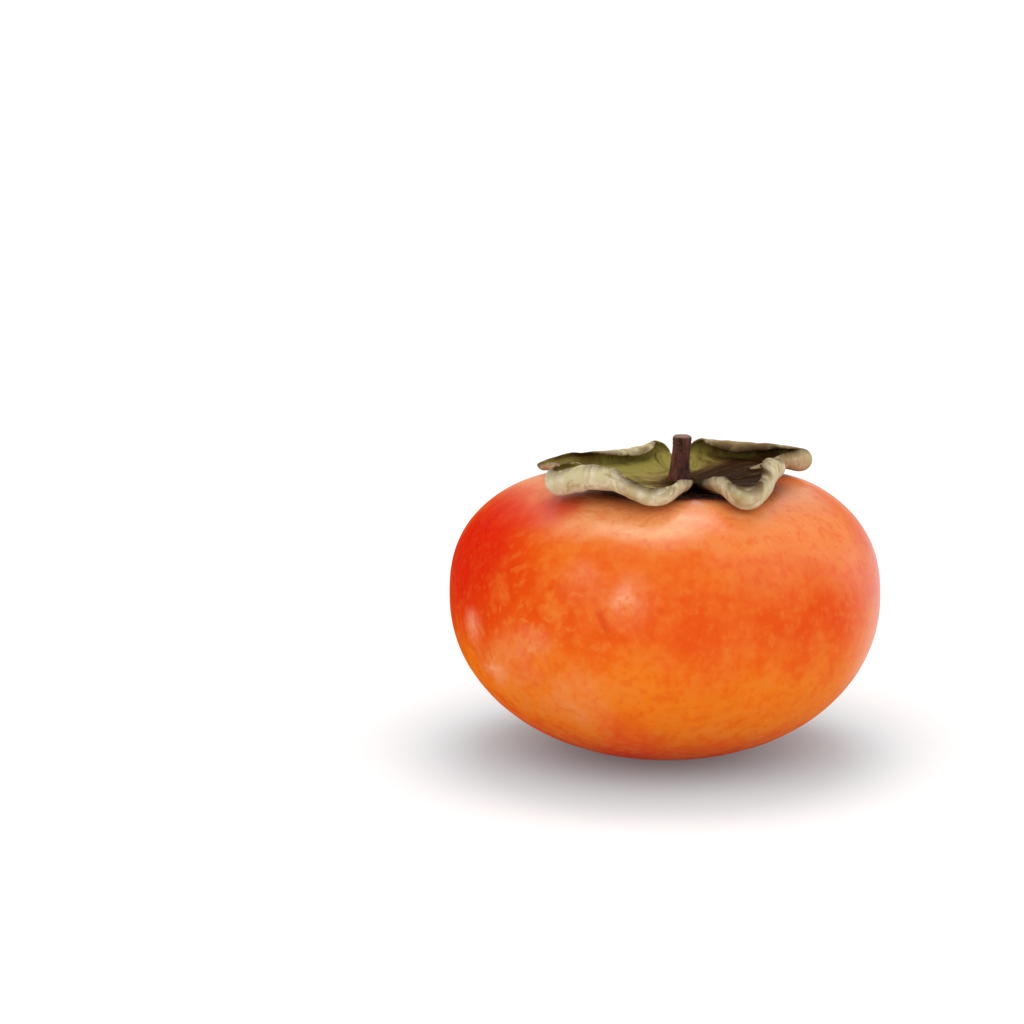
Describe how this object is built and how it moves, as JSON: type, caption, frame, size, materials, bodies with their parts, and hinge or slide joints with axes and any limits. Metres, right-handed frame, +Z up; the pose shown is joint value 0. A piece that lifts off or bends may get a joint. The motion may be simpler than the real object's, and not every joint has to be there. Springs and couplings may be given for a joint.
{
  "type": "persimmon",
  "caption": "Ripe squat orange persimmon standing on its blossom end, with a dry rolled calyx and a short woody stalk.",
  "frame": {"origin": "centre of the foot, on the surface that the fruit stands on", "axes": "+Z up towards the stalk, -Y towards the front as pictured"},
  "size_m": [0.08, 0.08, 0.0592],
  "materials": {
    "skin": "satin",
    "calyx": "matte",
    "stalk": "matte",
    "style": "matte"
  },
  "bodies": {
    "root": {"fruit": "skin", "calyx": "calyx", "stem": "stalk", "style_point": "style"}
  },
  "joints": []
}
